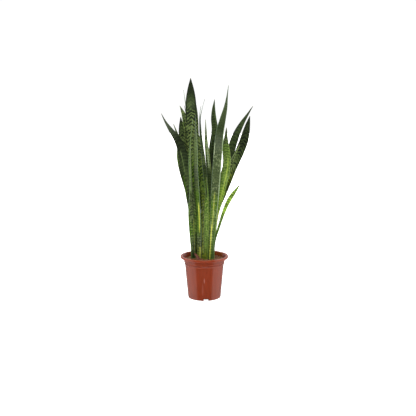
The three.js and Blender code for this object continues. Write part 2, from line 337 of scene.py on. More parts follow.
@dataclass(frozen=True)
class PottingMix(Finish):
    """Peat and bark, rough and dull, with lighter fibres, and painted shade in the cracks and in large dark
    patches.
    """

    name: str = "potting_mix"
    peat: str = "6b4222"
    bark: str = "966a3e"
    # The colour of the painted shade in the cracks and patches.
    painted_shade: str = "3b2110"
    crumb_mm: float = 4.0
    patch_mm: float = 11.0
    fine_mm: float = 1.2

    def surface(self, tree: Tree) -> Socket:
        """Draw the crumbs, with painted shade in the cracks between them and in large dark patches."""
        where = add(tree, "TexCoord")["Object"]
        crumbs = add(tree, "TexVoronoi", {"Vector": where, "Scale": 1 / (self.crumb_mm * MM)})["Color"]
        patches, fine = (
            add(tree, "TexNoise", {"Vector": where, "Scale": 1 / (size_mm * MM), "Detail": detail})[0]
            for size_mm, detail in ((self.patch_mm, 6.0), (self.fine_mm, 3.0))
        )
        tone = add(tree, "SeparateColor", {0: crumbs})[0]
        pick = add(tree, "Math", {0: tone, 1: patches}, operation="MULTIPLY")[0]
        # Painted shade: dark in the low places of the fine relief that the bump draws, and in large soft
        # patches.
        painted_crack_shade = add(tree, "MapRange", {0: fine, 1: 0.34, 2: 0.5, 3: 0.75, 4: 0.0})[0]
        painted_shade_patches = add(tree, "MapRange", {0: patches, 1: 0.42, 2: 0.56, 3: 0.7, 4: 0.0}, **SOFT)[0]
        dark = add(tree, "Math", {0: painted_crack_shade, 1: painted_shade_patches}, operation="MAXIMUM")[0]
        colour = srgb(self.peat)
        for share, over in ((pick, self.bark), (dark, self.painted_shade)):
            colour = add(tree, "Mix", {"Factor": share, 6: colour, 7: srgb(over)}, data_type="RGBA")[2]
        bump = add(tree, "Bump", {"Strength": 1.0, "Distance": 1.2 * MM, "Height": fine})[0]
        return add(tree, "BsdfPrincipled", {"Base Color": colour, "Roughness": 0.95, "Normal": bump})[0]


@dataclass(frozen=True)
class DryTissue(Finish):
    """Dead plant tissue, such as a dry sheath or the skin of a rhizome: matte, with fibres along it."""

    light: str
    dark: str
    fibre_mm: float

    def surface(self, tree: Tree) -> Socket:
        """Draw the fibres."""
        where = add(tree, "TexCoord")["Object"]
        drawn = add(tree, "Mapping", {"Vector": where, "Scale": (1.0, 1.0, 0.12)})[0]
        fibres = add(
            tree, "TexNoise", {"Vector": drawn, "Scale": 1 / (self.fibre_mm * MM), "Detail": 4.0}
        )[0]
        spread = add(tree, "MapRange", {0: fibres, 1: 0.35, 2: 0.65})[0]
        colour = add(
            tree, "Mix", {"Factor": spread, 6: srgb(self.dark), 7: srgb(self.light)}, data_type="RGBA"
        )[2]
        bump = add(tree, "Bump", {"Strength": 0.5, "Distance": 0.4 * MM, "Height": fibres})[0]
        return add(tree, "BsdfPrincipled", {"Base Color": colour, "Roughness": 0.75, "Normal": bump})[0]


@dataclass(frozen=True)
class WhiteAcrylic(Finish):
    """A white floor, lit from below so that only a faint shadow shows round the pot."""

    name: str = "white_acrylic_floor"
    glow: float = 0.85

    def surface(self, tree: Tree) -> Socket:
        """Draw the white sheet and its glow, which only the camera sees."""
        rays = add(tree, "LightPath")["Is Camera Ray"]
        glow = add(tree, "Math", {0: rays, 1: self.glow}, operation="MULTIPLY")[0]
        lit = add(tree, "BsdfDiffuse", {"Color": srgb("f4f4f4")})[0]
        lamp = add(tree, "Emission", {"Strength": glow})[0]
        return add(tree, "AddShader", {0: lit, 1: lamp})[0]


@dataclass(frozen=True)
class WaxyLeaf(Finish):
    """A living snake plant leaf: thick green skin with a waxy bloom and ragged cross bands.

    The pattern follows the piece's own attributes. "blade" holds the distance across the leaf, the distance
    along it and the distance to its tip, "nature" the leaf's number and its half width there, "green" the
    colour of the skin, and "marks" the strength of the bands, of the flecks and of the stripe, whose colour
    is in "stripe". The gains multiply the green in a band and beside it, and a stripe covers part of a band.
    """

    fleck: str
    # The edge colour is a dark margin on banded and dark leaves, and a painted edge highlight on grey and
    # bright leaves.
    edge: str
    band_mm: float
    rise: float
    ragged_mm: float
    edge_amount: float = 0.6
    edge_mm: tuple[float, float] = (0.4, 2.2)
    dry_mm: tuple[float, float] = (2.0, 10.0)
    # Each noise by its width in mm, its detail and its scale along the leaf, below 1 where it is drawn out.
    torn: Three = (3.5, 2.0, 0.16)
    wander: Three = (30.0, 1.0, 1.0)
    patches: Three = (26.0, 3.0, 1.0)
    frayed: Three = (3.0, 2.0, 0.14)
    flecks: Three = (7.0, 2.5, 0.6)
    veins: Three = (1.8, 3.0, 0.02)
    stripe_cover: float = 0.7
    roughness: float = 0.42
    dry: str = "6b6346"
    band_gain: Colour = (0.14, 0.18, 0.2, 1.0)
    gap_gain: Colour = (2.25, 2.15, 1.8, 1.0)

    def surface(self, tree: Tree) -> Socket:
        """Draw the skin with its bands, flecks, stripe, edges, dry tip and fine fibres."""
        blade, nature, green, marks, stripe_green = (
            add(tree, "Attribute", attribute_name=name)["Vector"] for name in LEAF_MARKS
        )
        across, along, to_tip = add(tree, "SeparateXYZ", {0: blade})
        seed, breadth, _ = add(tree, "SeparateXYZ", {0: nature})
        banding, flecking, striping = add(tree, "SeparateXYZ", {0: marks})
        aside = add(tree, "Math", {0: across}, operation="ABSOLUTE")[0]
        place = add(tree, "CombineXYZ", {0: across, 1: along, 2: seed})[0]

        torn, wander, patches, frayed, light, veins = (
            add(tree, "TexNoise", {
                "Vector": add(tree, "Mapping", {"Vector": place, "Scale": (1.0, drawn, 1.0)})[0],
                "Scale": 1 / (size_mm * MM), "Detail": detail,
            })[0]
            for size_mm, detail, drawn in (
                self.torn, self.wander, self.patches, self.frayed, self.flecks, self.veins
            )
        )

        # The stripe's soft strength is sharpened into a stripe with frayed edges.
        soft = add(tree, "Math", {0: frayed, 1: 0.5, 2: striping}, operation="MULTIPLY_ADD")[0]
        stripe = add(tree, "MapRange", {0: soft, 1: 0.5, 2: 0.95}, **SOFT)[0]
        beside = add(tree, "Math", {0: stripe, 1: -self.stripe_cover, 2: 1.0}, operation="MULTIPLY_ADD")[0]
        strength = add(tree, "Math", {0: banding, 1: beside}, operation="MULTIPLY")[0]
        way = along
        for share, reach in (
            (aside, self.rise), (torn, 4 * self.ragged_mm * MM), (wander, self.band_mm * MM)
        ):
            way = add(tree, "Math", {0: share, 1: reach, 2: way}, operation="MULTIPLY_ADD")[0]
        bands = self.bands(tree, way, patches)
        gain = add(tree, "Mix", {"Factor": bands, 6: self.gap_gain, 7: self.band_gain}, data_type="RGBA")[2]
        spots = add(tree, "MapRange", {0: light, 1: 0.52, 2: 0.66}, **SOFT)[0]
        flecks = add(tree, "Math", {0: spots, 1: flecking}, operation="MULTIPLY")[0]
        # Both edges get the edge colour: a dark margin on banded and dark leaves, a pale painted edge
        # highlight on grey and bright ones.
        rim = add(tree, "Math", {0: breadth, 1: aside}, operation="SUBTRACT")[0]
        edge, withered = (
            add(tree, "MapRange", {0: way, 1: near * MM, 2: far * MM, 3: most, 4: 0.0}, **SOFT)[0]
            for way, (near, far), most in ((rim, self.edge_mm, self.edge_amount), (to_tip, self.dry_mm, 0.8))
        )
        colour = green
        for share, over, blend in (
            (stripe, stripe_green, "MIX"), (strength, gain, "MULTIPLY"), (flecks, srgb(self.fleck), "MIX"),
            (edge, srgb(self.edge), "MIX"), (withered, srgb(self.dry), "MIX"),
        ):
            colour = add(
                tree, "Mix", {"Factor": share, 6: colour, 7: over}, data_type="RGBA", blend_type=blend
            )[2]

        streak = add(tree, "MapRange", {0: veins, 1: 0.3, 2: 0.7, 3: 0.8, 4: 1.2})[0]
        colour = add(tree, "HueSaturation", {"Value": streak, "Color": colour})[0]
        rough = add(tree, "MapRange", {
            0: veins, 1: 0.3, 2: 0.7, 3: self.roughness - 0.05, 4: self.roughness + 0.1,
        })[0]
        relief = add(tree, "Math", {0: bands, 1: 0.35, 2: veins}, operation="MULTIPLY_ADD")[0]
        bump = add(tree, "Bump", {"Strength": 0.3, "Distance": 0.3 * MM, "Height": relief})[0]
        return add(tree, "BsdfPrincipled", {
            "Base Color": colour, "Roughness": rough, "Normal": bump, "IOR": 1.45,
            "Specular IOR Level": 0.13,
        })[0]

    def bands(self, tree: Tree, way: Socket, patches: Socket) -> Socket:
        """Draw ragged cross bands.

        Args:
            tree: the material's nodes.
            way: distance along the leaf, bent where a band rises or is torn.
            patches: where the bands run together or thin out.

        Returns:
            The share of dark band at each point.
        """
        turns = add(tree, "Math", {0: way, 1: 2 * math.pi / (self.band_mm * MM)}, operation="MULTIPLY")[0]
        waves = add(tree, "Math", {0: turns}, operation="SINE")[0]
        uneven = add(tree, "Math", {0: patches, 1: 7.0, 2: waves}, operation="MULTIPLY_ADD")[0]
        return add(tree, "MapRange", {0: uneven, 1: 2.9, 2: 4.2}, **SOFT)[0]


class LeafFinish(Enum):
    """The kinds of leaf, by their slot in the record and the way their skin is marked."""

    # The first two edge colours are dark margins; the pale edge colours of the grey and bright leaves are
    # painted edge highlights.
    LEAF_BANDED = WaxyLeaf("waxy_leaf_banded", "8b9c52", "1f2b16", 19.0, 0.8, 2.2)
    LEAF_DARK = WaxyLeaf("waxy_leaf_dark", "6c7c48", "1b2413", 20.0, 0.5, 3.0)
    LEAF_GREY = WaxyLeaf("waxy_leaf_grey", "a5b384", "8fa58c", 15.0, 0.25, 3.0, 0.5)
    LEAF_BRIGHT = WaxyLeaf("waxy_leaf_bright", "bccb74", "9db168", 15.0, 0.45, 3.0, 0.5)


# --- pot


@dataclass
class Pot:
    """The moulded nursery pot: foot, tapered body, bead, collar and turned-down lip."""

    steps: int = 144
    mouth_radius: float = 0.1215
    lip_drop: float = 0.013
    lip_foot_radius: float = 0.1255
    lip_top_radius: float = 0.1305
    lip_curl: float = 0.006
    collar_radius: float = 0.1155
    collar_foot: float = 0.205
    collar_top: float = 0.221
    bead_height: float = 0.1953
    bead_width: float = 0.0096
    bead_proud: float = 0.002
    body_top_radius: float = 0.1105
    foot_radius: float = 0.0933
    foot_rounding: float = 0.004
    wall: float = 0.0022
    notch_count: int = 4
    notch_turn: float = 6.0
    notch_width: float = 0.027
    notch_height: float = 0.012
    notch_depth: float = 0.034
    notch_rounding: float = 0.002
    drain_radius: float = 0.005
    finish: MouldedPolypropylene = MouldedPolypropylene()

    def outline(self) -> list[Three]:
        """List the wall's corners as radius, height and rounding, from the underside to the floor inside."""
        low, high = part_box("pot")
        rim, top, wall = high.x, high.z, self.wall
        lip_foot, belly = top - self.lip_drop, top - self.lip_curl
        bead_foot, bead_top = (self.bead_height + half * self.bead_width / 2 for half in (-1, 1))
        collar_in = self.collar_radius - wall
        return [
            (0.0, low.z, 0.0),
            (self.foot_radius, low.z, self.foot_rounding),
            (self.body_top_radius, bead_foot, 0.0008),
            (self.body_top_radius + 2 * self.bead_proud, self.bead_height, 0.02),
            (self.body_top_radius, bead_top, 0.0008),
            (self.collar_radius, self.collar_foot, 0.003),
            (self.collar_radius, self.collar_top, 0.003),
            (self.mouth_radius + wall, top - wall, 0.002),
            (self.lip_top_radius, top - wall, 0.001),
            (rim - wall, belly, 0.001),
            (rim - wall, lip_foot + wall, 0.02),
            (self.lip_foot_radius, lip_foot + wall, 0.0008),
            (self.lip_foot_radius, lip_foot, 0.0006),
            (rim, lip_foot, 0.02),
            (rim, belly, 0.0),
            (rim, top, 0.02),
            (self.lip_top_radius, top, 0.0),
            (self.mouth_radius, top, 0.004),
            (collar_in, self.collar_top, 0.004),
            (collar_in, self.collar_foot + wall, 0.003),
            (self.body_top_radius - wall, bead_top, 0.002),
            (self.foot_radius - wall, wall, self.foot_rounding),
            (0.0, wall, 0.0),
        ]

    def turn(self, i: int) -> float:
        """Give the angle of notch i round the pot."""
        return math.radians(self.notch_turn - 90 + 360 / self.notch_count * i)

    def boxes(self, margin: float) -> Piece:
        """Make the four blocks of the drainage notches.

        Args:
            margin: 0 for the openings, or the thickness of the walls round them.

        Returns:
            One object that holds the blocks.
        """
        bm = bmesh.new()
        inner = self.foot_radius - self.notch_depth - margin
        outer = self.foot_radius - self.wall / 2 if margin else self.foot_radius + self.notch_depth
        height = 2 * (self.notch_height + margin)
        for i in range(self.notch_count):
            turn = self.turn(i)
            size = Matrix.Diagonal((outer - inner, self.notch_width + 2 * margin, height, 1))
            place = Matrix.Rotation(turn, 4, "Z") @ Matrix.Translation(((inner + outer) / 2, 0, 0)) @ size
            made = bmesh.ops.create_cube(bm, size=1.0, matrix=place)
            spoke = Vector((math.cos(turn), math.sin(turn), 0))
            long_edges = dict.fromkeys(
                edge for vert in made["verts"] for edge in vert.link_edges
                if abs((edge.verts[0].co - edge.verts[1].co).normalized().dot(spoke)) > 0.9
            )
            bmesh.ops.bevel(
                bm, geom=list(long_edges), offset=self.notch_rounding + margin, segments=4, profile=0.5,
                affect="EDGES", material=-1,
            )
        if margin:
            bmesh.ops.bisect_plane(
                bm, geom=bm.verts[:] + bm.edges[:] + bm.faces[:], plane_co=(0, 0, self.wall / 2),
                plane_no=(0, 0, -1), clear_outer=True,
            )
            bmesh.ops.holes_fill(bm, edges=bm.edges, sides=0)
        return make_piece("notch_blocks", bm)

    def drains(self) -> Piece:
        """Make the rods that bore the holes from the mix into the notches."""
        bm = bmesh.new()
        for i in range(self.notch_count):
            place = Matrix.Rotation(self.turn(i), 4, "Z") @ Matrix.Translation(
                (self.foot_radius - self.notch_depth / 2, 0, self.notch_height + self.wall / 2)
            )
            bmesh.ops.create_cone(
                bm, cap_ends=True, segments=32, radius1=self.drain_radius, radius2=self.drain_radius,
                depth=4 * self.wall, matrix=place,
            )
        return make_piece("drain_rods", bm)

    def build(self) -> Piece:
        """Build the pot and dress it."""
        piece = make_piece("pot_body", spun(self.outline(), self.steps))
        carve(piece, self.boxes(self.wall), "UNION")
        carve(piece, self.boxes(0.0), "DIFFERENCE")
        carve(piece, self.drains(), "DIFFERENCE")
        smooth(piece, 32.0)
        dress(piece, self.finish.make(), "pot", "pot")
        return piece


# --- potting mix


@dataclass
class Mix:
    """The potting mix: a lumpy surface inside the pot, strewn with crumbs of bark."""

    rings: int = 60
    steps: int = 120
    floor_height: float = 0.0145
    foot_radius: float = 0.0875
    lump: float = 0.0022
    lump_mm: float = 13.0
    crumb_count: int = 520
    crumb_size: tuple[float, float] = (0.0011, 0.0036)
    crumb_inset: float = 0.004
    crumb_wear: float = 0.00035
    sink: float = 0.0015
    rim_dip: float = 0.0045
    seed: int = 11
    finish: PottingMix = PottingMix()

    def __post_init__(self) -> None:
        """Keep the widest radius and the top of the mix's solid."""
        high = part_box("soil")[1]
        self.radius, self.top = high.x, high.z

    def height(self, x: float, y: float) -> float:
        """Give the height of the surface.

        Args:
            x: place to the right.
            y: place to the back.

        Returns:
            The height above the floor.
        """
        share = math.hypot(x, y) / self.radius
        dip = self.rim_dip * smoothstep(share, 0.55, 1.0)
        lumps = noise.fractal(Vector((x, y, 0.0)) / (self.lump_mm * MM), 0.9, 2.1, 4)
        return self.top - self.sink - dip + self.lump * lumps

    def surface(self) -> Piece:
        """Build the body of the mix."""
        corners = [(0.0, self.top, 0.0)]
        corners += [(self.radius * (i + 1) / self.rings, self.top, 0.0) for i in range(self.rings)]
        corners += [(self.foot_radius, self.floor_height, 0.0), (0.0, self.floor_height, 0.0)]
        bm = spun(corners, self.steps)
        for vert in bm.verts:
            if vert.co.z > self.top - 1e-5:
                vert.co.z = self.height(vert.co.x, vert.co.y)
        return make_piece("potting_mix_surface", bm, 70.0)

    def crumbs(self) -> Piece:
        """Strew the crumbs of bark over the surface."""
        draw = random.Random(self.seed)
        noise.seed_set(self.seed)
        bm = bmesh.new()
        for _ in range(self.crumb_count):
            reach = (self.radius - self.crumb_inset) * math.sqrt(draw.random())
            angle = draw.uniform(0, 2 * math.pi)
            x, y = reach * math.cos(angle), reach * math.sin(angle)
            size = draw.uniform(*self.crumb_size)
            spin = Matrix.Rotation(draw.uniform(0, math.pi), 4, "Z") @ Matrix.Rotation(
                draw.uniform(-0.5, 0.5), 4, "X"
            )
            form = Matrix.Diagonal((size * draw.uniform(1.0, 2.0), size, size * draw.uniform(0.4, 0.8), 1))
            place = Matrix.Translation((x, y, self.height(x, y) + 0.2 * size))
            bmesh.ops.create_icosphere(bm, subdivisions=1, radius=1.0, matrix=place @ spin @ form)
        for vert in bm.verts:
            vert.co += self.crumb_wear * noise.noise_vector(vert.co / (1.5 * MM))
        return make_piece("bark_crumbs", bm, 25.0)

    def build(self) -> list[Piece]:
        """Build the mix and its crumbs, and dress them."""
        material = self.finish.make()
        surface, crumbs = self.surface(), self.crumbs()
        dress(surface, material, "soil", "soil")
        dress(crumbs, material, "soil")
        return [surface, crumbs]


# --- leaves


class Station(NamedTuple):
    """One ring of a leaf's solid: its middle, and the ways to its edge, its face and its hollow."""

    middle: Vector
    side: Vector
    depth: Vector
    hollow: Vector


class Spine:
    """The rings of a leaf's solid, in order from foot to tip, and a smooth way through them."""

    def __init__(self, node: str) -> None:
        """Read the rings of a node.

        Args:
            node: the leaf's CAD node.
        """
        self.stations = self.read(node)
        self.reach = [0.0]
        for a, b in zip(self.stations, self.stations[1:]):
            self.reach.append(self.reach[-1] + (b.middle - a.middle).length)
        self.length = self.reach[-1]

    @staticmethod
    def read(node: str) -> list[Station]:
        """Walk up the node's mesh from the middle of its foot, ring by ring.

        Args:
            node: the leaf's CAD node.

        Returns:
            One station for each ring.
        """
        bm = bmesh.new()
        bm.from_mesh(frame["nodes"][node].data)
        bmesh.ops.remove_doubles(bm, verts=bm.verts, dist=1e-5)
        foot = min(bm.verts, key=lambda v: max(e.other_vert(v).co.z for e in v.link_edges))
        seen, ring, stations = {foot}, [foot], []
        while True:
            around = {e.other_vert(v) for v in ring for e in v.link_edges} - seen
            ring = sorted(around, key=lambda v: v.co[:])
            if len(ring) < 2:
                break
            seen.update(ring)
            stations.append(Spine.station(ring, stations[-1] if stations else None))
        bm.free()
        return stations

    @staticmethod
    def station(ring: Ring, before: Station | None) -> Station:
        """Find the edges and faces of the leaf on one ring. The first ring's side points to the left.

        Args:
            ring: the ring's vertices, in any order.
            before: the station below, which tells one edge from the other and front from back.

        Returns:
            The ring's station.
        """
        order, members = [ring[0]], set(ring)
        while len(order) < len(ring):
            near = [e.other_vert(order[-1]) for e in order[-1].link_edges]
            order.append(next(v for v in near if v in members and v not in order))
        points = [v.co.copy() for v in order]
        half, quarter = len(points) // 2, len(points) // 4
        centre = sum(points, Vector()) / len(points)
        if before:
            reaches = [(point - centre) @ before.side for point in points]
            start = reaches.index(max(reaches))
        else:
            widest = max(range(half), key=lambda i: (points[i] - points[i + half]).length)
            start = min(widest, widest + half, key=lambda i: points[i].x)
        edge, other_edge = points[start], points[(start + half) % len(points)]
        face, back = points[(start + quarter) % len(points)], points[(start - quarter) % len(points)]
        middle = (face + back) / 2
        hollow = (edge + other_edge) / 2 - middle
        towards = before.depth if before else hollow
        depth = (face - back) / 2
        return Station(middle, (edge - other_edge) / 2, depth if depth @ towards > 0 else -depth, hollow)

    def at(self, distance: float) -> Station:
        """Find a station on a smooth curve through the rings.

        Args:
            distance: how far it is from the foot.

        Returns:
            The station.
        """
        i = max(0, min(len(self.stations) - 2, sum(r <= distance for r in self.reach) - 1))
        span = self.reach[i + 1] - self.reach[i]
        t = (distance - self.reach[i]) / span
        return Station(*(
            a * (2 * t**3 - 3 * t**2 + 1)
            + b * (3 * t**2 - 2 * t**3)
            + self.slope(i, k) * span * (t**3 - 2 * t**2 + t)
            + self.slope(i + 1, k) * span * (t**3 - t**2)
            for k, (a, b) in enumerate(zip(self.stations[i], self.stations[i + 1]))
        ))

    def slope(self, i: int, k: int) -> Vector:
        """Give the rate at which part k of the stations changes at station i."""
        low, high = max(0, i - 1), min(len(self.stations) - 1, i + 1)
        change = self.stations[high][k] - self.stations[low][k]
        return change / (self.reach[high] - self.reach[low])


class Green(Enum):
    """The colours of the leaf skin, from old and dark to young, yellow or dusted with bloom, and of the
    painted shade and highlights along some leaf edges.
    """

    NIGHT = "1e2714"
    DEEP = "2c391d"
    OLD = "3d4a2b"
    SLATE = "434d39"
    GREY = "56663d"
    # The wax bloom's pale colour, also used for painted highlights along some leaf edges.
    BLOOM = "7f8f69"
    MOSS = "3f5a16"
    MID = "4f6729"
    FRESH = "66832a"
    LIME = "84993a"
    OLIVE = "5c6a20"
    CITRON = "9aa143"
    YELLOW = "bac050"
    HAZE = "a6b28c"


NIGHT, DEEP, OLD, SLATE, GREY, BLOOM, MOSS, MID, FRESH, LIME, OLIVE, CITRON, YELLOW, HAZE = Green


@dataclass(frozen=True)
class Tint:
    """The green of a leaf at one height, and how strongly it is banded and flecked there."""

    height_mm: float
    green: Green
    bands: float = 0.4
    flecks: float = 0.0


@dataclass(frozen=True)
class Stripe:
    """A stripe of another green that runs up part of a leaf.

    Its place across the leaf is -1 at the left edge and 1 at the right edge, as seen from the front, and
    its width is a share of the leaf's half width. Below a strength of 1 it breaks up into blotches.
    """

    # Some dark stripes along a leaf's edge are painted shade, and some thin pale ones are painted
    # highlights.
    green: Green
    place: float
    width: float
    low_mm: float
    high_mm: float
    fade_mm: float = 40.0
    strength: float = 1.0

    def amount(self, across: float, height_mm: float) -> float:
        """Give the stripe's strength.

        Args:
            across: place across the leaf, from -1 to 1.
            height_mm: height above the floor.

        Returns:
            A soft share from 0 to 1, which is a half at the stripe's edges.
        """
        beside = 1 - 0.5 * abs(across - self.place) / self.width
        ends = min(height_mm - self.low_mm, self.high_mm - height_mm) / self.fade_mm
        return self.strength * max(0.0, min(beside, 0.5 + ends, 1.0))


@dataclass(frozen=True)
class Growth:
    """How one leaf is coloured: its greens from the tip down, and its stripes."""

    tints: tuple[Tint, ...]
    stripes: tuple[Stripe, ...] = ()

    def at(self, height_mm: float) -> tuple[Vector, float, float]:
        """Blend the tints at a height.

        Args:
            height_mm: height above the floor.

        Returns:
            The linear colour, and the strengths of the bands and of the flecks.
        """
        last = len(self.tints) - 1
        nearest = next((i for i, tint in enumerate(self.tints) if tint.height_mm <= height_mm), last)
        below, above = self.tints[nearest], self.tints[max(0, nearest - 1)]
        share = smoothstep(height_mm, below.height_mm, above.height_mm) if above is not below else 0.0
        colour = Vector(srgb(below.green.value)[:3]).lerp(Vector(srgb(above.green.value)[:3]), share)
        bands = below.bands + (above.bands - below.bands) * share
        flecks = below.flecks + (above.flecks - below.flecks) * share
        return colour, bands, flecks

    def stripe(self, across: float, height_mm: float) -> tuple[Vector, float]:
        """Find the strongest stripe at a place.

        Args:
            across: place across the leaf, from -1 to 1.
            height_mm: height above the floor.

        Returns:
            Its linear colour and its strength.
        """
        if not self.stripes:
            return Vector((0, 0, 0)), 0.0
        best = max(self.stripes, key=lambda stripe: stripe.amount(across, height_mm))
        return Vector(srgb(best.green.value)[:3]), best.amount(across, height_mm)


